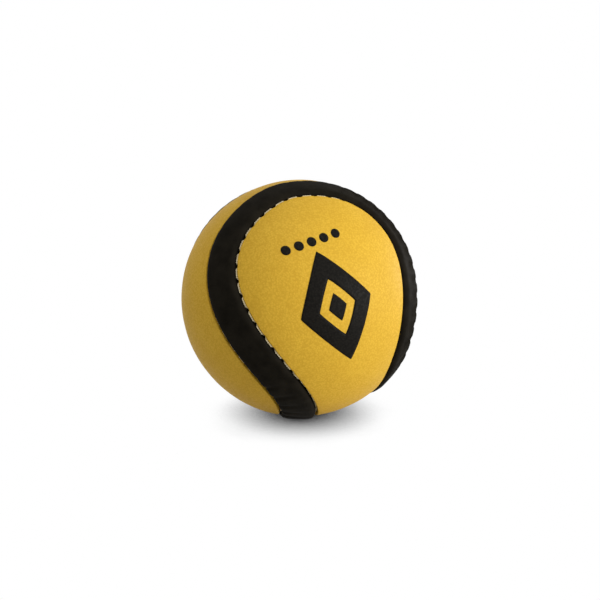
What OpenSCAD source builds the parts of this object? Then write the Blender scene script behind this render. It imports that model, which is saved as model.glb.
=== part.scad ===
// Hand-sized hollow rubber ball, with a yellow cover of two equal panels and a raised black seam band.
// The origin is the centre of the ball. +Z is up as the ball lies, and the printed panel faces -Y.

/* [Ball] */
// Diameter over the raised seam band
ball_d = 66.2; // [60:0.1:75]
// Height of the seam band above the cover panels
band_rise = 0.75; // [0.4:0.05:1]
// Thickness of the cover panels
cover_wall = 1.6; // [1.2:0.1:2.5]
// Adhesive gap between the core and the cover panels
cover_fit = 0.05; // [0.02:0.01:0.1]
// Adhesive gap between the core and the seam band
band_fit = 0.15; // [0.12:0.01:0.25]

/* [Core] */
// Wall of the hollow core
core_wall = 5; // [3.5:0.1:8]
// Height of the standing lip where the two core halves lap
lap_h = 2; // [1:0.1:4]
// Thickness of the cement between the core halves
cement_t = 0.2; // [0.1:0.05:0.5]

/* [Seam] */
// Furthest latitude that the seam reaches from the pattern's equator, in degrees
seam_reach = 69; // [66:0.5:70]
// Sideways swing that gives the panels their wide ends and narrow waists, in degrees
seam_swing = 27; // [24:0.5:28]
// Width of the band between its two grooves
band_w = 8.9; // [8:0.1:10.5]
// Width of each rounded shoulder of the band
shoulder_w = 1.6; // [1:0.1:2.5]

/* [Stitches] */
// Stitches along each edge of the band
stitch_count = 98; // [85:1:110]
// Bare stretch between one stitch and the next
stitch_gap = 1.3; // [0.8:0.05:1.6]
// Thickness of the thread
thread_d = 0.4; // [0.3:0.05:0.6]
// Room beside the thread in its groove, on each side
thread_fit = 0.12; // [0.1:0.01:0.3]
// Depth of the front panel's thread below the cover panels
front_sink = 0.1; // [0:0.02:0.4]
// Depth of the side panel's thread below the cover panels
side_sink = 0.3; // [0:0.02:0.4]
// Depth to which each stitch hole draws the band's shoulder down
pucker = 0.3; // [0.1:0.05:0.4]

/* [Print] */
// Width of the printed diamond
print_w = 18; // [12:0.5:20]
// Height of the printed diamond
print_h = 27; // [18:0.5:30]
// Width of the diamond's stroke, measured level
print_stroke = 4.5; // [2:0.25:5.5]
// Diameter of each dot over the diamond
dot_d = 2.2; // [1:0.1:2.6]
// Number of dots
dot_count = 5; // [3:1:7]
// Spacing of the dots
dot_pitch = 3.2; // [2.8:0.1:3.5]
// Space between the diamond and the dots
dot_space = 2.4; // [1.5:0.1:3]
// Thickness of the printed film
print_t = 0.1; // [0.05:0.01:0.2]
// Gap between the printed film and the panel
print_fit = 0.02; // [0.01:0.01:0.05]

/* [Lie of the ball] */
// Turn of the seam pattern about X, in degrees
turn_x = -13.56; // [-180:0.01:180]
// Turn of the seam pattern about Y, in degrees
turn_y = -8.78; // [-180:0.01:180]
// Turn of the seam pattern about Z, in degrees
turn_z = 65.96; // [-180:0.01:180]
// Turn of the print to the right of the ball's front, in degrees
print_right = 16; // [-20:1:20]
// Lift of the print above the ball's equator, in degrees
print_up = 6; // [-20:1:20]
// Lean of the print, anticlockwise as seen, in degrees
print_lean = 17; // [-45:1:45]

/* [Hidden] */

$fn = 96;
yellow = [0.85, 0.67, 0.18];
black = [0.1, 0.1, 0.09];
cream = [0.88, 0.8, 0.58];
rubber_grey = [0.36, 0.35, 0.33];
cement_tan = [0.72, 0.6, 0.4];

ball_r = ball_d / 2;
panel_r = ball_r - band_rise;
core_r = panel_r - cover_wall;
cavity_r = core_r - core_wall;
foot_r = core_r + cover_fit;
lap_r = (core_r + cavity_r) / 2;
groove_w = thread_d + 2 * thread_fit;

// Steps of the walk along a groove, and of the band and the panels' edges
WALK_STEPS = 720;
BAND_STEPS_PER_STITCH = 3;
PANEL_STEPS = 108;
// Where the seam rounds a wide end of the upper panel, in degrees of its walk
WIDE_END = -45;
// How far past the ball the cutting shapes reach, as a share of its radius
CUT_REACH = 1.6;
// Share of a shoulder's width and rise at the middle of its round
ROUND_IN = 1 - cos(45);
ROUND_UP = sin(45);

function unit(v) = v / norm(v);

// Angle in degrees that a length along the panels' surface takes up at the centre
function surface_angle(length) = length / panel_r * 180 / PI;

// The seam is one closed curve on a unit sphere, walked by t from 0 to 360 degrees
function seam_point(t) =
    let (lat = seam_reach * sin(2 * t), turn = t - seam_swing * sin(4 * t))
    [cos(lat) * cos(turn), cos(lat) * sin(turn), sin(lat)];

// Direction square to the seam along the sphere, to the left of the walk
function seam_left(t) =
    let (nudge = 0.05)
    unit(cross(seam_point(t), seam_point(t + nudge) - seam_point(t - nudge)));

// Point on the unit sphere, at an angle to the left of the seam
function beside_seam(t, angle) = cos(angle) * seam_point(t) + sin(angle) * seam_left(t);

// Angles beside the seam of the band's crest and edge, of the middle of a groove and of a panel's edge
crest_angle = surface_angle(band_w / 2 - shoulder_w);
band_angle = surface_angle(band_w / 2);
groove_angle = surface_angle((band_w + groove_w) / 2);
panel_angle = surface_angle(band_w / 2 + groove_w);

// Distance walked along the upper groove at each step
walk_points = [for (i = [0:WALK_STEPS]) beside_seam(i * 360 / WALK_STEPS, groove_angle)];
function walk_sums(i = 1, sum = 0, sums = [0]) =
    i > WALK_STEPS ? sums :
    let (next = sum + norm(walk_points[i] - walk_points[i - 1]))
    walk_sums(i + 1, next, concat(sums, next));
walked = walk_sums();
share_to_t = [for (i = [0:WALK_STEPS]) [walked[i] / walked[WALK_STEPS], i * 360 / WALK_STEPS]];
t_to_share = [for (pair = share_to_t) [pair[1], pair[0]]];

// The walk's t at a share of the upper groove's length, so that equal shares are equal distances
function upper_t(share) = 360 * floor(share) + lookup(share - floor(share), share_to_t);

// The same for the lower groove, which is the upper one turned over and walked backwards
function lower_t(share) = -upper_t(-share);

// A spherical shell between two radii
module shell(inner_r, outer_r) {
    difference() {
        sphere(outer_r);
        sphere(inner_r);
    }
}

// Turns the seam pattern to the way the ball lies
module lying() {
    rotate([turn_x, turn_y, turn_z]) children();
}

// Turns the pattern's upper panel or edge into the lower one, which is its equal
module over() {
    rotate([180, 0, 0]) children();
}

// All that lies under the core's stepped joint, with the step raised and widened by lift
module under_joint(lift) {
    depth = CUT_REACH * core_r;
    translate([0, 0, -depth]) cylinder(h = depth + lift, r = depth);
    translate([0, 0, -depth]) cylinder(h = depth + lap_h + lift, r = lap_r + lift);
}

module core_half_lower() {
    color(rubber_grey)
    intersection() {
        shell(cavity_r, core_r);
        under_joint(0);
    }
}

module core_half_upper() {
    color(rubber_grey)
    difference() {
        shell(cavity_r, core_r);
        under_joint(cement_t);
    }
}

module core_cement() {
    color(cement_tan)
    intersection() {
        shell(cavity_r, core_r);
        difference() {
            under_joint(cement_t);
            under_joint(0);
        }
    }
}

// Wedge from the ball's centre through the edge of the upper panel. The edge is walked from one wide end
// over a waist to the other wide end, with the mirror point across the panel paired to each step.
module panel_wedge() {
    reach = CUT_REACH * panel_r;
    last = PANEL_STEPS;
    start = lookup(WIDE_END + 360, t_to_share) - 1;
    walk = [for (i = [0:last]) upper_t(start + i / last / 2)];
    near = [for (t = walk) reach * beside_seam(t, panel_angle)];
    far = [for (t = walk) reach * beside_seam(2 * WIDE_END - t, panel_angle)];
    ridge = [for (i = [0:last]) reach * unit(near[i] + far[i])];
    centre = 3 * (last + 1);
    a = 0;
    b = last + 1;
    m = 2 * (last + 1);
    polyhedron(
        points = concat(near, far, ridge, [[0, 0, 0]]),
        faces = concat(
            [for (i = [0:last - 1]) [centre, a + i, a + i + 1]],
            [for (i = [0:last - 1]) [centre, b + i + 1, b + i]],
            [for (i = [0:last - 1]) each [[a + i, m + i, m + i + 1], [a + i, m + i + 1, a + i + 1]]],
            [for (i = [0:last - 1]) each [[b + i, m + i + 1, m + i], [b + i, b + i + 1, m + i + 1]]]
        )
    );
}

module cover_panel() {
    color(yellow)
    intersection() {
        shell(foot_r, panel_r);
        panel_wedge();
    }
}

module front_panel() {
    lying() over() cover_panel();
}

module side_panel() {
    lying() cover_panel();
}

// The band's section as [angle beside the seam, radius] points.
// A stitch hole there draws the shoulders down by dip.
function band_section(dip) =
    let (
        round_angle = band_angle - ROUND_IN * (band_angle - crest_angle),
        round_r = panel_r + ROUND_UP * band_rise - dip,
        edge_r = panel_r - dip,
        sole_r = core_r + band_fit
    )
    concat(
        [for (share = [-1:0.5:1]) [share * band_angle, sole_r]],
        [[band_angle, edge_r], [round_angle, round_r]],
        [for (share = [1:-0.5:-1]) [share * crest_angle, ball_r]],
        [[-round_angle, round_r], [-band_angle, edge_r]]
    );

// Share of the upper groove's walk in a point at an angle beside the seam: all of it on the upper shoulder,
// none on the lower shoulder
function upper_share(angle) = max(0, min(1, (1 + angle / crest_angle) / 2));

// Each section runs across the band from a place in the upper groove to the same share of the lower groove,
// so that the stitch holes of both grooves draw it down. The first section lies at a stitch hole.
module seam_band() {
    steps = stitch_count * BAND_STEPS_PER_STITCH;
    ring = len(band_section(0));
    points = [
        for (i = [0:steps - 1])
        let (
            stitches = i / BAND_STEPS_PER_STITCH,
            share = (stitches + 1 / 2) / stitch_count,
            dip = pucker * (1 - abs(sin(180 * stitches)))
        )
        for (p = band_section(dip))
        let (blend = upper_share(p[0]))
        p[1] * beside_seam(blend * upper_t(share) + (1 - blend) * lower_t(share), p[0])
    ];
    faces = [
        for (i = [0:steps - 1], k = [0:ring - 1])
        let (
            here = i * ring,
            next = (i + 1) % steps * ring,
            turn = (k + 1) % ring
        )
        each [[here + k, next + k, next + turn], [here + k, next + turn, here + turn]]
    ];
    color(black) lying() polyhedron(points, faces);
}

// One stitch: a bar of thread with round ends, centred between two points on its line
module stitch(from, to, length) {
    along = unit(to - from);
    half = (length - thread_d) / 2;
    translate((from + to) / 2)
    rotate([0, acos(along.z), atan2(along.y, along.x)]) {
        cylinder(h = 2 * half, d = thread_d, center = true);
        translate([0, 0, half]) sphere(d = thread_d);
        translate([0, 0, -half]) sphere(d = thread_d);
    }
}

// Place in the upper groove at a radius, counted in stitches
function groove_point(stitches, radius) =
    radius * beside_seam(upper_t(stitches / stitch_count), groove_angle);

// The row of stitches in the upper groove, with a stitch hole half way from each stitch to the next
module stitch_row(sink) {
    thread_r = panel_r - sink - thread_d / 2;
    color(cream)
    for (i = [0:stitch_count - 1]) {
        pitch = norm(groove_point(i + 1 / 2, thread_r) - groove_point(i - 1 / 2, thread_r));
        stitch(groove_point(i - 1 / 4, thread_r), groove_point(i + 1 / 4, thread_r), pitch - stitch_gap);
    }
}

module front_stitches() {
    lying() over() stitch_row(front_sink);
}

module side_stitches() {
    lying() stitch_row(side_sink);
}

// A diamond with level and upright diagonals
module diamond(width, height) {
    polygon([[width / 2, 0], [0, height / 2], [-width / 2, 0], [0, -height / 2]]);
}

// Flat outline of the print: a diamond in a diamond frame, under a row of dots
module print_outline() {
    hole_w = print_w - 2 * print_stroke;
    slope = print_h / print_w;
    difference() {
        diamond(print_w, print_h);
        diamond(hole_w, hole_w * slope);
    }
    diamond(hole_w / 2, hole_w / 2 * slope);
    for (i = [0:dot_count - 1])
        translate([(i - (dot_count - 1) / 2) * dot_pitch, print_h / 2 + dot_space]) circle(d = dot_d);
}

module print_mark() {
    film_r = panel_r + print_fit;
    color(black)
    intersection() {
        shell(film_r, film_r + print_t);
        rotate([-print_up, 0, print_right])
        rotate([90, -print_lean, 0])
        linear_extrude(CUT_REACH * panel_r) print_outline();
    }
}

core_half_lower();
core_half_upper();
core_cement();
front_panel();
side_panel();
seam_band();
front_stitches();
side_stitches();
print_mark();
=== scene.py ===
"""Dresses a hand-sized street ball: two grained yellow panels, a raised seam band, thread and print."""
import math

import bpy
import numpy as np
from bpy.props import FloatProperty, FloatVectorProperty, IntProperty, PointerProperty
from bpy.types import Operator, Panel, PropertyGroup
from mathutils import Euler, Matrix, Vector


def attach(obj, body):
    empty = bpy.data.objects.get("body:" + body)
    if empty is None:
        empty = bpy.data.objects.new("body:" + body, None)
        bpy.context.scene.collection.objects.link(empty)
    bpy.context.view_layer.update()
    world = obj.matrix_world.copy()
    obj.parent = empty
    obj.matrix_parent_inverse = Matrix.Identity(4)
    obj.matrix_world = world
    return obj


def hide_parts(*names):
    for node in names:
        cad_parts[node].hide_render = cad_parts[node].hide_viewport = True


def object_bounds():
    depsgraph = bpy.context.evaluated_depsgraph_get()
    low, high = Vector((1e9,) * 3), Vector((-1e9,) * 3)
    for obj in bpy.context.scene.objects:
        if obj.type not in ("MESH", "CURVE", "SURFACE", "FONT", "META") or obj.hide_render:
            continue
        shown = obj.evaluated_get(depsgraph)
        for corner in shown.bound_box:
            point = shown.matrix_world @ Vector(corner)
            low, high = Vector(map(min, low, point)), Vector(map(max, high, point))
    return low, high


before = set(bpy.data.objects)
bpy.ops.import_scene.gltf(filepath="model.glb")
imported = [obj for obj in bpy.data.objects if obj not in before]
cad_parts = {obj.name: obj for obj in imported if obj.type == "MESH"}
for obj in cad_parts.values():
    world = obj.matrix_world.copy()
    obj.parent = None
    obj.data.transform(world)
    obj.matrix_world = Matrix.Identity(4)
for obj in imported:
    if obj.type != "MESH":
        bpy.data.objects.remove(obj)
CAD_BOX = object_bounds()

bl_info = {
    "name": "Seamed street ball",
    "version": (1, 0, 0),
    "blender": (4, 5, 0),
    "location": "3D View > Sidebar > Ball",
    "description": "Builds the cover, seam band, stitches and print of a hand-sized ball round its solids",
    "category": "Add Mesh",
}

MM = 0.001


def node_reach(name):
    """Distance from the ball's centre to the furthest corner of one of its solids."""
    return max(corner.co.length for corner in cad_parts[name].data.vertices)


# Radii of the ball's layers, from its solids
CORE_R = node_reach("core_half_lower")
PANEL_R = node_reach("side_panel")
BALL_R = node_reach("seam_band")


# Settings that a user would change

def length_setting(label, about, default):
    """A length in metres, shown to a hundredth of a millimetre."""
    return FloatProperty(name=label, description=about, default=default, unit="LENGTH", precision=5)


def angle_setting(label, about, degrees):
    """An angle, given in degrees and kept in radians."""
    return FloatProperty(name=label, description=about, default=math.radians(degrees), subtype="ANGLE")


def level_setting(label, about, default):
    """A plain share or strength."""
    return FloatProperty(name=label, description=about, default=default, min=0.0)


def colour_setting(label, about, default):
    """A colour in linear light."""
    return FloatVectorProperty(name=label, description=about, default=default, subtype="COLOR",
                               min=0.0, max=1.0)


class SeamSizes(PropertyGroup):
    """Sizes of the seam pattern, the band, the cover's edges and the stitches."""
    reach: angle_setting("Reach", "Furthest latitude of the seam in its pattern", 69)
    swing: angle_setting("Swing", "Sideways swing that gives the panels wide ends and waists", 27)
    lie: FloatVectorProperty(
        name="Lie", description="Turn of the seam pattern to the way the ball lies", subtype="EULER",
        default=[math.radians(turn) for turn in (-13.56, -8.78, 65.96)])
    band_width: length_setting("Band width", "Width of the band between its grooves", 8.9 * MM)
    shoulder: length_setting("Shoulder", "Width of each rounded shoulder of the band", 1.6 * MM)
    tuck: length_setting("Tuck", "Depth to which the band's edge is folded into its groove", 0.35 * MM)
    groove: length_setting("Groove", "Width of the groove between the band and a panel", 0.64 * MM)
    lip: length_setting("Lip", "Rounding of a panel's edge", 0.2 * MM)
    stitches: IntProperty(name="Stitches", description="Stitches along each edge of the band",
                          default=98, min=1)
    thread: length_setting("Thread", "Thickness of the two-ply thread", 0.42 * MM)
    front_sink: length_setting("Front sink", "Depth of the front panel's thread below the panels", 0.1 * MM)
    side_sink: length_setting("Side sink", "Depth of the side panel's thread below the panels", 0.3 * MM)
    pucker: length_setting("Pucker", "Depth to which a stitch hole draws the band down", 0.42 * MM)
    notch: length_setting("Notch", "Depth of the nick of a stitch hole in a panel's edge", 0.08 * MM)
    dent: length_setting("Dent", "Depth of the dimple round a stitch hole in a panel", 0.1 * MM)
    wave: length_setting("Wave", "Height of the gentle waves in the stretched cover", 0.035 * MM)
    sag: length_setting("Sag", "How far tight thread draws the cover down at the far right", 0.3 * MM)
    bury: length_setting("Bury", "How much deeper the thread lies where it is drawn tight", 0.35 * MM)
    low_bury: length_setting("Low bury", "How much deeper still it lies on the underside", 0.35 * MM)


class PrintSizes(PropertyGroup):
    """Sizes and place of the printed diamond and its dots."""
    width: length_setting("Width", "Width of the printed diamond", 18 * MM)
    height: length_setting("Height", "Height of the printed diamond", 27 * MM)
    stroke: length_setting("Stroke", "Width of the diamond's stroke, measured level", 4.5 * MM)
    dot: length_setting("Dot", "Diameter of each dot", 2.2 * MM)
    dots: IntProperty(name="Dots", description="Number of dots over the diamond", default=5, min=1)
    dot_pitch: length_setting("Dot spacing", "Spacing of the dots", 3.2 * MM)
    dot_space: length_setting("Dot height", "Space between the diamond and the dots", 2.4 * MM)
    film: length_setting("Film", "Thickness of the printed film", 0.05 * MM)
    right: angle_setting("Right", "Turn of the print to the right of the ball's front", 16)
    up: angle_setting("Up", "Lift of the print above the ball's equator", 6)
    lean: angle_setting("Lean", "Lean of the print, anticlockwise as seen", 17)


class Finishes(PropertyGroup):
    """Colours and grain of the ball's materials."""
    yellow: colour_setting("Cover", "Yellow of the cover panels", (0.69, 0.424, 0.042))
    # The creases' yellow is painted shade, the darker yellow where shade falls in the grain's creases
    shaded_crease: colour_setting("Creases", "Yellow in the creases of the grain", (0.52, 0.29, 0.02))
    black: colour_setting("Band", "Black of the seam band", (0.0105, 0.0089, 0.0063))
    cream: colour_setting("Thread", "Cream of the waxed thread", (0.92, 0.79, 0.5))
    ink: colour_setting("Ink", "Black of the print", (0.0085, 0.0075, 0.006))
    rubber: colour_setting("Core", "Dark grey of the rubber core", (0.03, 0.028, 0.026))
    cement: colour_setting("Cement", "Tan of the rubber cement", (0.45, 0.32, 0.13))
    grain: length_setting("Grain", "Size of a pebble in the cover's grain", 0.5 * MM)
    grain_depth: length_setting("Grain depth", "Depth of the creases between pebbles", 0.03 * MM)


class StageSettings(PropertyGroup):
    """Camera, light and floor."""
    distance: length_setting("Camera distance", "From the ball's centre to the camera", 185.2 * MM)
    elevation: angle_setting("Camera height", "Angle of the camera above the horizon", 10)
    lens: FloatProperty(name="Lens", description="Focal length on a 36 mm sensor, in millimetres",
                        default=40.0, subtype="DISTANCE_CAMERA")
    aim_right: length_setting("Aim right", "Place that the camera aims at, right of the centre", 0.1 * MM)
    aim_up: length_setting("Aim up", "Place that the camera aims at, above the centre", -0.52 * MM)
    key: level_setting("Key light", "Level of the soft light on the right", 0.92)
    top: level_setting("Top light", "Level of the soft light overhead", 0.42)
    back: level_setting("Back light", "Level of the light behind the ball, which fills its far side", 0.55)
    sheen: level_setting("Sheen light", "Level of the light behind the right, seen in gloss alone", 0.4)
    sky: level_setting("Sky", "Level of the even light from all round", 0.36)
    floor_bounce: level_setting("Floor bounce", "Share of light that the floor throws back", 0.64)
    shadow_end: level_setting("Shadow end", "Openness of the floor at which its shadow ends", 0.48)


# The seam's geometry

def smooth_step(share):
    """Eases a share from 0 to 1, flat at both ends."""
    held = np.clip(share, 0.0, 1.0)
    return held * held * (3.0 - 2.0 * held)


def units(vectors):
    """The same directions at length 1."""
    return vectors / np.linalg.norm(vectors, axis=-1, keepdims=True)


class SeamWalk:
    """The seam as a closed curve on a unit sphere, with even walks along its two grooves."""
    STEPS = 2880
    # Step of t that gives the seam's direction
    NUDGE = 0.001
    # Where the seam rounds a wide end of the upper panel
    WIDE_END = -math.pi / 4

    def __init__(self, sizes):
        self.reach = sizes.reach
        self.swing = sizes.swing
        self.groove_angle = (sizes.band_width + sizes.groove) / 2 / PANEL_R
        self.walk_t = np.linspace(0.0, 2 * math.pi, self.STEPS + 1)
        points = self.beside(self.walk_t, self.groove_angle)
        lengths = np.linalg.norm(np.diff(points, axis=0), axis=1)
        self.walked = np.concatenate([[0.0], np.cumsum(lengths)]) / lengths.sum()

    def point(self, t):
        """Points on the seam's middle line."""
        latitude = self.reach * np.sin(2 * t)
        turn = t - self.swing * np.sin(4 * t)
        level = np.cos(latitude)
        return np.stack([level * np.cos(turn), level * np.sin(turn), np.sin(latitude)], axis=-1)

    def beside(self, t, angle):
        """Points on the sphere at an angle to the left of the seam."""
        t, angle = np.broadcast_arrays(t, angle)
        middle = self.point(t)
        left = units(np.cross(middle, self.point(t + self.NUDGE) - self.point(t - self.NUDGE)))
        return np.cos(angle)[..., None] * middle + np.sin(angle)[..., None] * left

    def upper_t(self, share):
        """The walk's t at a share of the upper groove's length."""
        rounds = np.floor(share)
        return 2 * math.pi * rounds + np.interp(share - rounds, self.walked, self.walk_t)

    def lower_t(self, share):
        """The same for the lower groove, which is the upper one turned over and walked backwards."""
        return -self.upper_t(-share)

    def upper_share(self, t):
        """Share of the upper groove's length that is walked at t."""
        rounds = np.floor(t / (2 * math.pi))
        return rounds + np.interp(t - 2 * math.pi * rounds, self.walk_t, self.walked)

    def lower_share(self, t):
        """The same for the lower groove."""
        return -self.upper_share(-t)


def hole_pull(stitches, reach):
    """How strongly the nearest stitch hole pulls, from 0 to 1. Holes lie half way between stitches."""
    from_hole = np.abs(np.mod(stitches, 1.0) - 0.5)
    return np.exp(-(from_hole / reach) ** 2)


def underside(directions):
    """0 on the ball's upper part, eased to 1 on its underside between two heights in ball radii."""
    upper, lower = -0.4, -0.55
    return smooth_step((directions[..., 2] - upper) / (lower - upper))


def tightness(directions):
    """How tight the thread is drawn: 0 on the ball's upper left, 1 on its lower right and underside."""
    tight_side = np.array([0.967, 0.0, -0.256])
    tight_span = 0.35
    return np.maximum(smooth_step(directions @ tight_side / tight_span), underside(directions))


class CoverWaves:
    """Gentle seeded waves, as in leather that was stretched by hand."""
    COUNT = 24

    def __init__(self, height, seed=7, shortest=7 * MM, longest=18 * MM):
        draw = np.random.default_rng(seed)
        lengths = draw.uniform(shortest, longest, self.COUNT)
        directions = units(draw.normal(size=(self.COUNT, 3)))
        self.waves = directions * (2 * math.pi / lengths)[:, None]
        self.phases = draw.uniform(0.0, 2 * math.pi, self.COUNT)
        self.height = height / math.sqrt(self.COUNT)

    def at(self, points):
        """Rise of the surface at points of the ball."""
        return self.height * np.sin(points @ self.waves.T + self.phases).sum(axis=-1)


def lying(sizes, turned_over=False):
    """Rotation from the seam's pattern to the way the ball lies. Turned over, it swaps the panels."""
    turn = np.array(Euler(sizes.lie).to_matrix())
    half_turn = np.diag([1.0, -1.0, -1.0])
    return turn @ half_turn if turned_over else turn


# Mesh helpers

def grid_faces(start, rows, columns, close_rows=False):
    """Four-sided faces of a grid of points, numbered row by row, whose rows close on themselves."""
    row = np.arange(rows if close_rows else rows - 1)[:, None]
    column = np.arange(columns)[None, :]
    above = (row + 1) % rows
    beside = (column + 1) % columns
    corners = [row * columns + column, row * columns + beside,
               above * columns + beside, above * columns + column]
    return (start + np.stack(np.broadcast_arrays(*corners), axis=-1).reshape(-1, 4)).tolist()


def flipped(faces):
    """The same faces, facing the other way."""
    return [face[::-1] for face in faces]


def add_piece(name, points, faces, material, node):
    """Makes a mesh object with the given finish that stands for one solid, and hides that solid."""
    mesh = bpy.data.meshes.new(name)
    mesh.from_pydata(np.asarray(points).reshape(-1, 3).tolist(), [], faces)
    mesh.validate()
    mesh.shade_smooth()
    mesh.materials.append(material)
    piece = bpy.data.objects.new(name, mesh)
    bpy.context.scene.collection.objects.link(piece)
    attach(piece, "root")
    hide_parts(node)


# Material helpers

def add_node(tree, kind, inputs=None, **settings):
    """Adds a shader node with its settings and the values of its unlinked inputs."""
    node = tree.nodes.new(kind)
    for name, value in settings.items():
        setattr(node, name, value)
    for name, value in (inputs or {}).items():
        node.inputs[name].default_value = value
    return node


def new_material(name, roughness, specular):
    """A material with one surface shader, its finish set on the shader's own sockets."""
    material = bpy.data.materials.new(name)
    material.use_nodes = True
    shader = material.node_tree.nodes["Principled BSDF"]
    shader.inputs["Roughness"].default_value = roughness
    shader.inputs["Specular IOR Level"].default_value = specular
    return material, material.node_tree, shader


def object_place(tree):
    """Place on the piece, in metres."""
    return add_node(tree, "ShaderNodeTexCoord").outputs["Object"]


def noise(tree, place, size, detail=2.0):
    """Soft noise whose blobs are about size across."""
    node = add_node(tree, "ShaderNodeTexNoise", {"Scale": 1.0 / size, "Detail": detail})
    tree.links.new(place, node.inputs["Vector"])
    return node.outputs["Fac"]


def remap(tree, value, span, onto):
    """Maps a value from one span onto another and holds it at the ends."""
    node = add_node(tree, "ShaderNodeMapRange",
                    {"From Min": span[0], "From Max": span[1], "To Min": onto[0], "To Max": onto[1]})
    tree.links.new(value, node.inputs["Value"])
    return node.outputs["Result"]


def patches(tree, place, size, detail, lowest=0.0):
    """Soft patches about size across, whose tone runs from lowest to 1."""
    return remap(tree, noise(tree, place, size, detail), span=(0.3, 0.7), onto=(lowest, 1.0))


def pebbles(tree, place, size, rounding=0.35):
    """Domed pebbles about size across: 1 at their tops and 0 in the creases."""
    node = add_node(tree, "ShaderNodeTexVoronoi", {"Scale": 1.0 / size, "Smoothness": rounding},
                    feature="SMOOTH_F1")
    tree.links.new(place, node.inputs["Vector"])
    return remap(tree, node.outputs["Distance"], span=(0.1, 0.75), onto=(1.0, 0.0))


def combine(tree, operation, first, second):
    """One arithmetic step between two values, the second of which may be a plain number."""
    node = add_node(tree, "ShaderNodeMath", operation=operation)
    tree.links.new(first, node.inputs[0])
    if isinstance(second, float):
        node.inputs[1].default_value = second
    else:
        tree.links.new(second, node.inputs[1])
    return node.outputs["Value"]


def paint(tree, shader, share, dark, pale):
    """Colours a surface between two colours, by a share that varies over it."""
    node = add_node(tree, "ShaderNodeMix", data_type="RGBA")
    tree.links.new(share, node.inputs["Factor"])
    node.inputs["A"].default_value = (*dark, 1.0)
    node.inputs["B"].default_value = (*pale, 1.0)
    tree.links.new(node.outputs["Result"], shader.inputs["Base Color"])


def polish(tree, shader, height, creases, tops):
    """Roughness of a grained surface, from its creases to the tops of its pebbles."""
    level = remap(tree, height, span=(0.2, 0.9), onto=(creases, tops))
    tree.links.new(level, shader.inputs["Roughness"])


def raise_surface(tree, shader, height, depth):
    """Fine relief from a height between 0 and 1, depth metres deep."""
    bump = add_node(tree, "ShaderNodeBump", {"Strength": 1.0, "Distance": depth})
    tree.links.new(height, bump.inputs["Height"])
    tree.links.new(bump.outputs["Normal"], shader.inputs["Normal"])


def scaled(colour, factor):
    """A lighter or darker version of a colour."""
    return tuple(factor * channel for channel in colour)


# Finishes of the ball

def leather_height(tree, place, grain):
    """Height of pebbled leather: domed pebbles of two sizes and a trace of fine pores."""
    small_grain = 0.55 * grain
    pore_size = 0.3 * grain
    large_share, small_share, pore_share = 0.6, 0.3, 0.15
    large = combine(tree, "MULTIPLY", pebbles(tree, place, grain), large_share)
    small = combine(tree, "MULTIPLY", pebbles(tree, place, small_grain), small_share)
    pores = combine(tree, "MULTIPLY", noise(tree, place, pore_size), pore_share)
    return combine(tree, "ADD", combine(tree, "ADD", large, small), pores)


def yellow_leather(finishes):
    """Yellow grained leather with painted shade in the creases of its grain, faintly uneven in tone."""
    material, tree, shader = new_material("yellow_grained_leather", roughness=0.5, specular=0.09)
    place = object_place(tree)
    height = leather_height(tree, place, finishes.grain)
    # Painted shade: by the grain's height, the yellow darkens towards the crease colour in the creases
    crease_shade = remap(tree, height, span=(0.25, 0.7), onto=(0.45, 1.0))
    tone = patches(tree, place, 6 * MM, detail=3.0, lowest=0.75)
    paint(tree, shader, combine(tree, "MULTIPLY", crease_shade, tone), finishes.shaded_crease, finishes.yellow)
    polish(tree, shader, height, creases=0.62, tops=0.44)
    raise_surface(tree, shader, height, finishes.grain_depth)
    return material


def black_leather(finishes):
    """Smooth black leather of the band, with a fine grain and a dull sheen."""
    fine_grain = 0.7 * finishes.grain
    fine_depth = 0.5 * finishes.grain_depth
    material, tree, shader = new_material("black_band_leather", roughness=0.6, specular=0.0125)
    place = object_place(tree)
    height = leather_height(tree, place, fine_grain)
    tone = patches(tree, place, 3 * MM, detail=4.0)
    paint(tree, shader, tone, scaled(finishes.black, 0.7), scaled(finishes.black, 1.3))
    polish(tree, shader, height, creases=0.66, tops=0.5)
    raise_surface(tree, shader, height, fine_depth)
    return material


def waxed_thread(finishes):
    """Cream thread with a little wax, soiled here and there."""
    material, tree, shader = new_material("waxed_cream_thread", roughness=0.55, specular=0.25)
    place = object_place(tree)
    tone = patches(tree, place, 1.5 * MM, detail=3.0)
    paint(tree, shader, tone, scaled(finishes.cream, 0.8), finishes.cream)
    raise_surface(tree, shader, noise(tree, place, 0.08 * MM), depth=0.02 * MM)
    return material


def print_ink(finishes):
    """Matt black ink that takes the grain of the leather under it, with painted highlights on the pebble
    tops and painted shade in the creases.
    """
    material, tree, shader = new_material("black_print_ink", roughness=0.5, specular=0.05)
    place = object_place(tree)
    height = leather_height(tree, place, finishes.grain)
    # Painted highlight and shade: by the grain's height, the ink is lighter on the pebble tops and darker
    # in the creases
    grain_highlight = remap(tree, height, span=(0.15, 0.95), onto=(0.0, 1.0))
    paint(tree, shader, grain_highlight, scaled(finishes.ink, 0.6), scaled(finishes.ink, 1.5))
    polish(tree, shader, height, creases=0.6, tops=0.42)
    raise_surface(tree, shader, height, finishes.grain_depth)
    return material


def core_rubber(finishes):
    """Dull moulded rubber with a little bloom."""
    material, tree, shader = new_material("core_rubber", roughness=0.8, specular=0.2)
    place = object_place(tree)
    bloom = noise(tree, place, 4 * MM, detail=4.0)
    paint(tree, shader, bloom, scaled(finishes.rubber, 0.7), scaled(finishes.rubber, 1.3))
    raise_surface(tree, shader, noise(tree, place, 0.4 * MM), depth=0.03 * MM)
    return material


def rubber_cement(finishes):
    """Dried tan cement, streaky and dull."""
    material, tree, shader = new_material("rubber_cement", roughness=0.7, specular=0.2)
    place = object_place(tree)
    streaks = noise(tree, place, 2 * MM, detail=5.0)
    paint(tree, shader, streaks, scaled(finishes.cement, 0.75), finishes.cement)
    raise_surface(tree, shader, noise(tree, place, 0.6 * MM), depth=0.05 * MM)
    return material


# Operators, one for each group of like pieces

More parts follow.
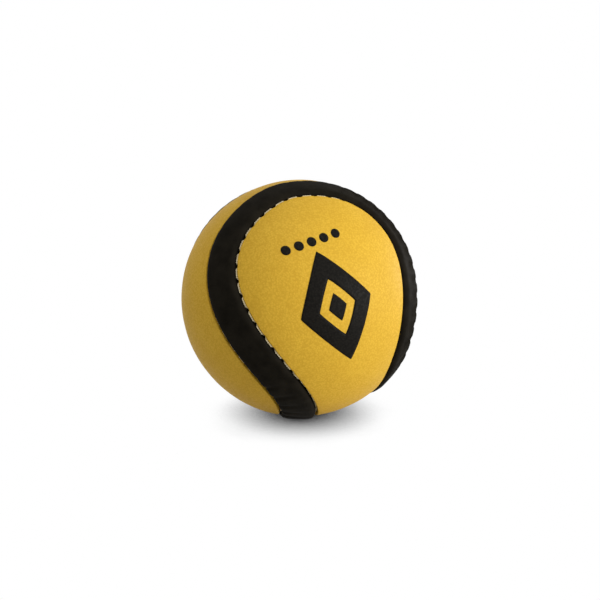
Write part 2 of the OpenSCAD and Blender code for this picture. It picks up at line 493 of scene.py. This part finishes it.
class BALL_OT_dress_core(Operator):
    """Give the two core halves and their cement a rubber finish"""
    bl_idname = "ball.dress_core"
    bl_label = "Dress the core"

    def execute(self, context):
        finishes = context.scene.ball_finishes
        rubber = core_rubber(finishes)
        cement = rubber_cement(finishes)
        for name, material in (("core_half_lower", rubber), ("core_half_upper", rubber),
                               ("core_cement", cement)):
            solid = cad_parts[name].data
            solid.materials.clear()
            solid.materials.append(material)
        return {"FINISHED"}


class BALL_OT_make_panels(Operator):
    """Build the two yellow cover panels, with rounded edges that are nicked at each stitch hole"""
    bl_idname = "ball.make_panels"
    bl_label = "Make the cover panels"

    STEPS_PER_STITCH = 12
    LIP_STEPS = 5
    # Depths of the hidden wall under the lip, and insets of the rings that lead from the lip inward
    WALL_DEPTHS = (1.0 * MM, 0.6 * MM)
    RING_INSETS = (0.45 * MM, 0.7 * MM, 1.0 * MM, 1.4 * MM, 1.9 * MM, 2.6 * MM, 3.4 * MM)
    # How far a stitch hole's nick and dimple reach into the panel, and along its edge in stitches
    NOTCH_REACH = 0.5 * MM
    DENT_REACH = 0.8 * MM
    PULL_ALONG = 0.11
    # Strips across the panel's outside and its underside, and the space between that and the core
    OUTER_COLUMNS = 44
    INNER_COLUMNS = 12
    SOLE_GAP = 0.05 * MM
    # Where the cover's sag on the ball's right begins, in ball radii
    SAG_START = 0.8

    def execute(self, context):
        sizes = context.scene.ball_seam
        leather = yellow_leather(context.scene.ball_finishes)
        walk = SeamWalk(sizes)
        waves = CoverWaves(sizes.wave)
        for node, turned_over in (("front_panel", True), ("side_panel", False)):
            turn = lying(sizes, turned_over)
            directions, radii, faces = self.panel(walk, sizes, turn)
            turned = directions @ turn.T
            outside = radii > (CORE_R + PANEL_R) / 2
            sag = sizes.sag * smooth_step((turned[:, 0] - self.SAG_START) / (1.0 - self.SAG_START))
            rise = np.where(outside, waves.at(turned * PANEL_R) - sag, 0.0)
            points = turned * (radii + rise)[:, None]
            add_piece(f"{node}_cover", points, faces, leather, node)
        return {"FINISHED"}

    def edge_profile(self, sizes):
        """Insets and depths of the panel's edge, from the foot of its wall over the lip and inward."""
        arc = np.linspace(0.0, math.pi / 2, self.LIP_STEPS)
        insets = [0.0] * (1 + len(self.WALL_DEPTHS))
        insets += list(sizes.lip * (1.0 - np.cos(arc)))
        insets += list(self.RING_INSETS)
        depths = [PANEL_R - CORE_R - self.SOLE_GAP, *self.WALL_DEPTHS]
        depths += list(sizes.lip * (1.0 - np.sin(arc)))
        depths += [0.0] * len(self.RING_INSETS)
        return np.array(insets), np.array(depths)

    def panel(self, walk, sizes, turn):
        """Directions, radii and faces of the upper panel as one closed shell, for a turn of the pattern."""
        count = sizes.stitches * self.STEPS_PER_STITCH
        shares = walk.upper_share(walk.WIDE_END) + np.arange(count) / count
        groove = walk.beside(walk.upper_t(shares), walk.groove_angle)
        loose = 1.0 - tightness(groove @ turn.T)
        pull = hole_pull(shares * sizes.stitches, self.PULL_ALONG) * loose
        insets, depths = self.edge_profile(sizes)
        nick = sizes.notch * pull * np.exp(-(insets[:, None] / self.NOTCH_REACH) ** 2)
        dent = sizes.dent * pull * np.exp(-(insets[:, None] / self.DENT_REACH) ** 2)
        # The foot of the wall stays even
        nick[0] = 0.0
        dent[0] = 0.0
        angles = (sizes.band_width / 2 + sizes.groove + insets[:, None] + nick) / PANEL_R
        rim = walk.beside(walk.upper_t(shares)[None, :], angles)
        rim_radii = PANEL_R - depths[:, None] - dent
        rows = len(insets)
        directions = [rim.reshape(-1, 3)]
        radii = [rim_radii.reshape(-1)]
        faces = grid_faces(0, rows, count)
        start = rows * count
        for row, columns, radius, outward in ((rows - 1, self.OUTER_COLUMNS, PANEL_R, True),
                                              (0, self.INNER_COLUMNS, CORE_R + self.SOLE_GAP, False)):
            inside, more = self.fill_loop(rim[row], row * count, start, columns)
            if not outward:
                more = flipped(more)
            directions.append(inside)
            radii.append(np.full(len(inside), radius))
            faces += more
            start += len(inside)
        return np.concatenate(directions), np.concatenate(radii), faces

    @staticmethod
    def fill_loop(loop, first, start, columns):
        """Fills a closed loop of directions with strips across it, from one wide end to the other."""
        half = len(loop) // 2
        near = loop[1:half]
        far = loop[:half:-1]
        shares = np.arange(1, columns) / columns
        across = np.arccos(np.clip((near * far).sum(axis=1), -1.0, 1.0))[:, None, None]
        near_part = np.sin((1.0 - shares)[None, :, None] * across) * near[:, None, :]
        far_part = np.sin(shares[None, :, None] * across) * far[:, None, :]
        inside = (near_part + far_part) / np.sin(across)
        steps = np.arange(1, half)
        middle = start + np.arange(inside.shape[0] * inside.shape[1]).reshape(inside.shape[:2])
        rows = np.column_stack([first + steps, middle, first + len(loop) - steps])
        quads = np.stack([rows[:-1, :-1], rows[1:, :-1], rows[1:, 1:], rows[:-1, 1:]], axis=-1)
        near_tip = [[first, int(a), int(b)] for a, b in zip(rows[0, :-1], rows[0, 1:])]
        far_tip = [[first + half, int(b), int(a)] for a, b in zip(rows[-1, :-1], rows[-1, 1:])]
        return inside.reshape(-1, 3), quads.reshape(-1, 4).tolist() + near_tip + far_tip


class BALL_OT_make_band(Operator):
    """Build the raised black band, with rounded shoulders that pucker at each stitch hole"""
    bl_idname = "ball.make_band"
    bl_label = "Make the seam band"

    STEPS_PER_STITCH = 12
    CREST_STEPS = 8
    SHOULDER_STEPS = 10
    WALL_DEPTH = 1.0 * MM
    SOLE_STEPS = 5
    SOLE_GAP = 0.15 * MM
    # How far a stitch hole pulls along the band, in stitches
    PULL_ALONG = 0.16
    # Share of the pull that is left where the thread is loose, and all along the front panel
    LOOSE = 0.15

    def execute(self, context):
        sizes = context.scene.ball_seam
        leather = black_leather(context.scene.ball_finishes)
        walk = SeamWalk(sizes)
        beside, height = self.section(sizes)
        along = self.stations(walk, sizes, beside)
        turned = walk.beside(along, beside / PANEL_R) @ lying(sizes).T
        drop = sizes.pucker * self.pull(walk, sizes, along, beside, tightness(turned))
        rise = CoverWaves(sizes.wave).at(turned * PANEL_R)
        on_top = height >= PANEL_R - sizes.tuck
        radii = np.where(on_top, height - drop + rise, height)
        faces = flipped(grid_faces(0, len(along), len(beside), close_rows=True))
        points = turned * radii[..., None]
        add_piece("seam_band_leather", points, faces, leather, "seam_band")
        return {"FINISHED"}

    def stations(self, walk, sizes, beside):
        """The walk's t along the band, which passes over from one groove's even steps to the other's."""
        steps = sizes.stitches * self.STEPS_PER_STITCH
        shares = np.arange(steps) / steps
        crest = sizes.band_width / 2 - sizes.shoulder
        blend = np.clip((1.0 + beside / crest) / 2, 0.0, 1.0)
        return blend * walk.upper_t(shares)[:, None] + (1.0 - blend) * walk.lower_t(shares)[:, None]

    def pull(self, walk, sizes, along, beside, tight):
        """How strongly the stitch holes of both grooves draw the band down, from 0 to 1."""
        edge = sizes.band_width / 2
        side_share = smooth_step((1.0 + beside / edge) / 2)
        side_pull = hole_pull(walk.upper_share(along) * sizes.stitches, self.PULL_ALONG)
        front_pull = hole_pull(walk.lower_share(along) * sizes.stitches, self.PULL_ALONG)
        side_tight = self.LOOSE + (1.0 - self.LOOSE) * tight
        return side_tight * side_share * side_pull + self.LOOSE * (1.0 - side_share) * front_pull

    def section(self, sizes):
        """Places beside the seam and radii of points round the band's section, from the crest's middle."""
        edge = sizes.band_width / 2
        crest = edge - sizes.shoulder
        edge_r = PANEL_R - sizes.tuck
        arc = np.linspace(0.0, math.pi / 2, self.SHOULDER_STEPS)[1:]
        beside = list(crest * np.linspace(0.0, 1.0, self.CREST_STEPS)[1:])
        height = [BALL_R] * len(beside)
        beside += list(crest + sizes.shoulder * np.sin(arc))
        height += list(edge_r + (BALL_R - edge_r) * np.cos(arc))
        beside += [edge, edge]
        height += [PANEL_R - self.WALL_DEPTH, CORE_R + self.SOLE_GAP]
        sole = list(edge * np.linspace(1.0, -1.0, self.SOLE_STEPS)[1:-1])
        mirrored = [-place for place in reversed(beside)]
        beside = np.array([0.0] + beside + sole + mirrored)
        height = np.array([BALL_R] + height + [CORE_R + self.SOLE_GAP] * len(sole) + height[::-1])
        return beside, height


class BALL_OT_make_stitches(Operator):
    """Build the two rows of two-ply stitches, which dive into the stitch holes at their ends"""
    bl_idname = "ball.make_stitches"
    bl_label = "Make the stitches"

    RINGS = 24
    SIDES = 8
    PLIES = 2
    TWIST_PITCH = 1.1 * MM
    # Radius of a ply as a share of the thread, a little over a quarter so that the plies press together
    PLY_SHARE = 0.27
    # Half of a stitch's run and of its level stretch, in stitches
    HALF_RUN = 0.47
    HALF_LEVEL = 0.26
    # Step along the row that gives the thread's direction, in stitches
    NUDGE = 0.002
    # Space between the core and the ends of a stitch, which dive into the stitch holes
    FOOT_GAP = 0.05 * MM

    def execute(self, context):
        sizes = context.scene.ball_seam
        thread = waxed_thread(context.scene.ball_finishes)
        walk = SeamWalk(sizes)
        for node, turned_over, sink in (("front_stitches", True, sizes.front_sink),
                                        ("side_stitches", False, sizes.side_sink)):
            turn = lying(sizes, turned_over)
            points, faces = self.row(walk, sizes, turn, sink)
            add_piece(f"{node}_thread", points @ turn.T, faces, thread, node)
        return {"FINISHED"}

    def path(self, walk, sizes, turn, sink, stitches):
        """Points of the thread's middle, at places counted in stitches along the upper groove."""
        off_centre = np.abs(stitches - np.round(stitches))
        dive = smooth_step((off_centre - self.HALF_LEVEL) / (self.HALF_RUN - self.HALF_LEVEL))
        around = walk.beside(walk.upper_t(stitches / sizes.stitches), walk.groove_angle)
        turned = around @ turn.T
        bury = sizes.bury * tightness(turned) + sizes.low_bury * underside(turned)
        level = PANEL_R - sink - bury - sizes.thread / 2
        foot = CORE_R + self.FOOT_GAP + sizes.thread / 2
        radius = level + (foot - level) * dive
        return around * radius[..., None]

    def row(self, walk, sizes, turn, sink):
        """Points and faces of the stitches in the upper groove, for a turn of the pattern."""
        ply_r = sizes.thread * self.PLY_SHARE
        offset = sizes.thread / 2 - ply_r
        run = np.linspace(-self.HALF_RUN, self.HALF_RUN, self.RINGS)
        places = np.arange(sizes.stitches)[:, None] + run[None, :]
        middle = self.path(walk, sizes, turn, sink, places)
        ahead = self.path(walk, sizes, turn, sink, places + self.NUDGE)
        behind = self.path(walk, sizes, turn, sink, places - self.NUDGE)
        along = units(ahead - behind)
        side = units(np.cross(middle, along))
        up = np.cross(along, side)
        stretches = np.linalg.norm(np.diff(middle, axis=1), axis=-1)
        length = np.concatenate([np.zeros((sizes.stitches, 1)), np.cumsum(stretches, axis=1)], axis=1)
        twist = 2 * math.pi * length[:, None, :] / self.TWIST_PITCH
        twist = twist + 2 * math.pi * np.arange(self.PLIES)[None, :, None] / self.PLIES
        around = 2 * math.pi * np.arange(self.SIDES) / self.SIDES

        def beside_path(angle):
            """Unit step away from the path at an angle, in each ply's own shape."""
            spread = [1] * (angle.ndim - 3)
            shape = (sizes.stitches, 1, self.RINGS, *spread, 3)
            return (np.cos(angle)[..., None] * side.reshape(shape)
                    + np.sin(angle)[..., None] * up.reshape(shape))

        ply = middle[:, None] + offset * beside_path(twist)
        ring = beside_path(np.broadcast_to(around, (sizes.stitches, self.PLIES, self.RINGS, self.SIDES)))
        points = ply[..., None, :] + ply_r * ring
        faces = []
        per_ply = self.RINGS * self.SIDES
        for start in range(0, points.size // 3, per_ply):
            faces += grid_faces(start, self.RINGS, self.SIDES)
            faces.append(list(range(start, start + self.SIDES))[::-1])
            faces.append(list(range(start + per_ply - self.SIDES, start + per_ply)))
        return points, faces


class BALL_OT_make_print(Operator):
    """Lay the printed diamond and its dots as a thin film on the front panel"""
    bl_idname = "ball.make_print"
    bl_label = "Make the print"

    AROUND = 240
    ACROSS = 8
    DOT_AROUND = 40
    DOT_ACROSS = 4
    # 1 gives sharp corners and 2 an ellipse
    CORNER_POWER = 1.08
    FILM_GAP = 0.02 * MM

    def execute(self, context):
        sizes = context.scene.ball_print
        ink = print_ink(context.scene.ball_finishes)
        points, faces = [], []
        start = 0
        for rings in self.outlines(sizes):
            flat, more = self.film(rings, start)
            points.append(flat)
            faces += more
            start += len(flat)
        flat = np.concatenate(points)
        waves = CoverWaves(context.scene.ball_seam.wave)
        place = self.on_ball(flat[:, :2], sizes)
        radius = PANEL_R + waves.at(place * PANEL_R) + self.FILM_GAP + flat[:, 2] * sizes.film
        add_piece("print_film", place * radius[:, None], faces, ink, "print_mark")
        return {"FINISHED"}

    def outlines(self, sizes):
        """The print's shapes, each as flat rings of points from its middle or hole to its edge."""
        turn = 2 * math.pi * np.arange(self.AROUND) / self.AROUND
        power = self.CORNER_POWER
        spread = ((np.abs(np.cos(turn)) * 2 / sizes.width) ** power
                  + (np.abs(np.sin(turn)) * 2 / sizes.height) ** power) ** (-1 / power)
        diamond = np.column_stack([spread * np.cos(turn), spread * np.sin(turn)])
        hole = 1.0 - 2 * sizes.stroke / sizes.width
        shares = np.linspace(hole, 1.0, self.ACROSS)
        shapes = [shares[:, None, None] * diamond]
        shares = np.linspace(0.0, hole / 2, self.ACROSS)
        shapes.append(shares[:, None, None] * diamond)
        turn = 2 * math.pi * np.arange(self.DOT_AROUND) / self.DOT_AROUND
        dot = sizes.dot / 2 * np.column_stack([np.cos(turn), np.sin(turn)])
        shares = np.linspace(0.0, 1.0, self.DOT_ACROSS)
        for i in range(sizes.dots):
            middle = ((i - (sizes.dots - 1) / 2) * sizes.dot_pitch, sizes.height / 2 + sizes.dot_space)
            shapes.append(shares[:, None, None] * dot + np.array(middle))
        return shapes

    @staticmethod
    def film(rings, start):
        """Points of a closed film over flat rings, marked 1 on top and 0 beneath, and its faces."""
        around = rings.shape[1]
        middle = rings[0, 0]
        solid = np.allclose(rings[0], middle)
        wide_rings = rings[1:] if solid else rings
        layers = np.concatenate([wide_rings, wide_rings[::-1]])
        level = np.repeat([1.0, 0.0], len(wide_rings))
        level = np.broadcast_to(level[:, None, None], (*layers.shape[:2], 1))
        points = np.concatenate([layers, level], axis=-1).reshape(-1, 3)
        faces = flipped(grid_faces(start, len(layers), around, close_rows=not solid))
        if solid:
            top, bottom = start + len(points), start + len(points) + 1
            points = np.vstack([points, [*middle, 1.0], [*middle, 0.0]])
            last = start + (len(layers) - 1) * around
            for i in range(around):
                beside = (i + 1) % around
                faces.append([top, start + i, start + beside])
                faces.append([bottom, last + beside, last + i])
        return points, faces

    @staticmethod
    def on_ball(flat, sizes):
        """Directions on the ball of flat points, laid straight on to its front and turned into place."""
        flat = flat / PANEL_R
        forward = -np.sqrt(1.0 - (flat ** 2).sum(axis=1))
        facing = np.column_stack([flat[:, 0], forward, flat[:, 1]])
        lean = Euler((0.0, -sizes.lean, 0.0)).to_matrix()
        place = Euler((-sizes.up, 0.0, sizes.right)).to_matrix()
        return facing @ np.array(place @ lean).T


class BALL_OT_set_stage(Operator):
    """Set the floor, the soft lights, the plain backdrop and the camera"""
    bl_idname = "ball.set_stage"
    bl_label = "Set the stage"

    FLOOR_HALF = 4.0
    # How far off the ball still shades the floor, and how far the light there leans to the front
    SHADOW_REACH = 0.3
    SHADOW_LEAN = 0.1
    SHADOW_SAMPLES = 16
    # Openness of the floor at which its shadow is black, and how steeply it deepens on the way there
    SHADOW_START = 0.078
    SHADOW_FALL = 0.92
    LIGHT_DISTANCE = 0.7
    # Each light's place, in degrees round from the front and above the horizon, and its width
    LIGHTS = {
        "key": (60, 9.5, 0.3),
        "top": (-20, 66, 0.7),
        "back": (180, 5, 0.14),
        "sheen": (122, 4.5, 0.2),
    }
    # Width of the camera's sensor in millimetres, and the nearest that it sees
    SENSOR_WIDTH = 36.0
    NEAREST = 0.01

    def execute(self, context):
        settings = context.scene.ball_stage
        context.scene.view_settings.view_transform = "Standard"
        self.floor(settings)
        self.sky(context.scene, settings)
        lamps = {name: self.soft_light(name, getattr(settings, name)) for name in self.LIGHTS}
        # The back light stays out of reflections, and the sheen light shows in them alone
        lamps["back"].visible_glossy = False
        lamps["sheen"].visible_diffuse = False
        self.camera(context.scene, settings)
        return {"FINISHED"}

    @staticmethod
    def seen_directly(tree):
        """1 for what the camera sees, also in a mirror or through glass, and 0 for light that bounces."""
        path = add_node(tree, "ShaderNodeLightPath")
        mirrored = combine(tree, "MAXIMUM", path.outputs["Is Camera Ray"], path.outputs["Is Glossy Ray"])
        return combine(tree, "MAXIMUM", mirrored, path.outputs["Is Transmission Ray"])

    def floor(self, settings):
        """A wide pale floor under the ball, white to the camera where no shadow falls."""
        half = self.FLOOR_HALF
        low = CAD_BOX[0].z
        corners = [(-half, -half, low), (half, -half, low), (half, half, low), (-half, half, low)]
        mesh = bpy.data.meshes.new("floor")
        mesh.from_pydata(corners, [], [(0, 1, 2, 3)])
        floor = bpy.data.objects.new("floor", mesh)
        bpy.context.scene.collection.objects.link(floor)
        material = bpy.data.materials.new("white_floor")
        material.use_nodes = True
        tree = material.node_tree
        tree.nodes.clear()
        grey = [settings.floor_bounce] * 3
        bounce = add_node(tree, "ShaderNodeBsdfDiffuse", {"Color": (*grey, 1.0)})
        white = add_node(tree, "ShaderNodeEmission")
        tree.links.new(self.floor_shade(tree, settings), white.inputs["Strength"])
        mix = add_node(tree, "ShaderNodeMixShader")
        output = add_node(tree, "ShaderNodeOutputMaterial")
        tree.links.new(self.seen_directly(tree), mix.inputs["Fac"])
        tree.links.new(bounce.outputs["BSDF"], mix.inputs[1])
        tree.links.new(white.outputs["Emission"], mix.inputs[2])
        tree.links.new(mix.outputs["Shader"], output.inputs["Surface"])
        mesh.materials.append(material)

    def floor_shade(self, tree, settings):
        """White where the floor lies open to the sky, down to the dark contact shadow under the ball."""
        facing = add_node(tree, "ShaderNodeCombineXYZ", {"Y": -self.SHADOW_LEAN, "Z": 1.0})
        open_sky = add_node(tree, "ShaderNodeAmbientOcclusion", {"Distance": self.SHADOW_REACH},
                            samples=self.SHADOW_SAMPLES)
        tree.links.new(facing.outputs["Vector"], open_sky.inputs["Normal"])
        span = (self.SHADOW_START, settings.shadow_end)
        share = remap(tree, open_sky.outputs["AO"], span, onto=(0.0, 1.0))
        return combine(tree, "POWER", share, self.SHADOW_FALL)

    def sky(self, scene, settings):
        """An even grey sky that is white to the camera."""
        world = bpy.data.worlds.new("plain_studio")
        scene.world = world
        world.use_nodes = True
        tree = world.node_tree
        back = tree.nodes["Background"]
        back.inputs["Color"].default_value = (1.0, 1.0, 1.0, 1.0)
        level = remap(tree, self.seen_directly(tree), span=(0.0, 1.0), onto=(settings.sky, 1.0))
        tree.links.new(level, back.inputs["Strength"])

    def soft_light(self, name, level):
        """A square soft light that faces the ball and lights white card square to it at a level."""
        *angles, size = self.LIGHTS[name]
        azimuth, elevation = (math.radians(angle) for angle in angles)
        light = bpy.data.lights.new(f"{name}_light", "AREA")
        light.shape = "SQUARE"
        light.size = size
        light.energy = level * math.pi ** 2 * self.LIGHT_DISTANCE ** 2
        towards = Vector((math.sin(azimuth) * math.cos(elevation),
                          -math.cos(azimuth) * math.cos(elevation), math.sin(elevation)))
        lamp = bpy.data.objects.new(f"{name}_light", light)
        lamp.location = towards * self.LIGHT_DISTANCE
        lamp.rotation_euler = towards.to_track_quat("Z", "Y").to_euler()
        bpy.context.scene.collection.objects.link(lamp)
        return lamp

    def camera(self, scene, settings):
        """The camera at the photograph's viewing angle."""
        view = bpy.data.cameras.new("camera")
        view.lens = settings.lens
        view.sensor_width = self.SENSOR_WIDTH
        view.clip_start = self.NEAREST
        camera = bpy.data.objects.new("camera", view)
        back = Vector((0.0, -math.cos(settings.elevation), math.sin(settings.elevation)))
        up = Vector((0.0, math.sin(settings.elevation), math.cos(settings.elevation)))
        camera.location = back * settings.distance
        aim = Vector((settings.aim_right, 0.0, 0.0)) + up * settings.aim_up
        camera.rotation_euler = (aim - camera.location).to_track_quat("-Z", "Y").to_euler()
        scene.collection.objects.link(camera)
        scene.camera = camera


class BALL_PT_sidebar(Panel):
    """Lists the ball's steps and settings in the sidebar"""
    bl_idname = "BALL_PT_sidebar"
    bl_label = "Ball"
    bl_space_type = "VIEW_3D"
    bl_region_type = "UI"
    bl_category = "Ball"

    def draw(self, context):
        for step in OPERATORS:
            self.layout.operator(step.bl_idname)
        for name, group in SETTINGS.items():
            box = self.layout.box()
            for setting in group.__annotations__:
                box.prop(getattr(context.scene, name), setting)


SETTINGS = {
    "ball_seam": SeamSizes,
    "ball_print": PrintSizes,
    "ball_finishes": Finishes,
    "ball_stage": StageSettings,
}
OPERATORS = (
    BALL_OT_dress_core,
    BALL_OT_make_panels,
    BALL_OT_make_band,
    BALL_OT_make_stitches,
    BALL_OT_make_print,
    BALL_OT_set_stage,
)


def register():
    """Registers the settings, the operators and the sidebar's panel."""
    for name, group in SETTINGS.items():
        bpy.utils.register_class(group)
        setattr(bpy.types.Scene, name, PointerProperty(type=group))
    for step in OPERATORS:
        bpy.utils.register_class(step)
    bpy.utils.register_class(BALL_PT_sidebar)


def unregister():
    """Takes away what register added."""
    bpy.utils.unregister_class(BALL_PT_sidebar)
    for step in reversed(OPERATORS):
        bpy.utils.unregister_class(step)
    for name, group in SETTINGS.items():
        delattr(bpy.types.Scene, name)
        bpy.utils.unregister_class(group)


def main():
    """Builds the ball and its stage."""
    register()
    bpy.ops.ball.dress_core()
    bpy.ops.ball.make_panels()
    bpy.ops.ball.make_band()
    bpy.ops.ball.make_stitches()
    bpy.ops.ball.make_print()
    bpy.ops.ball.set_stage()


if __name__ == "__main__":
    main()
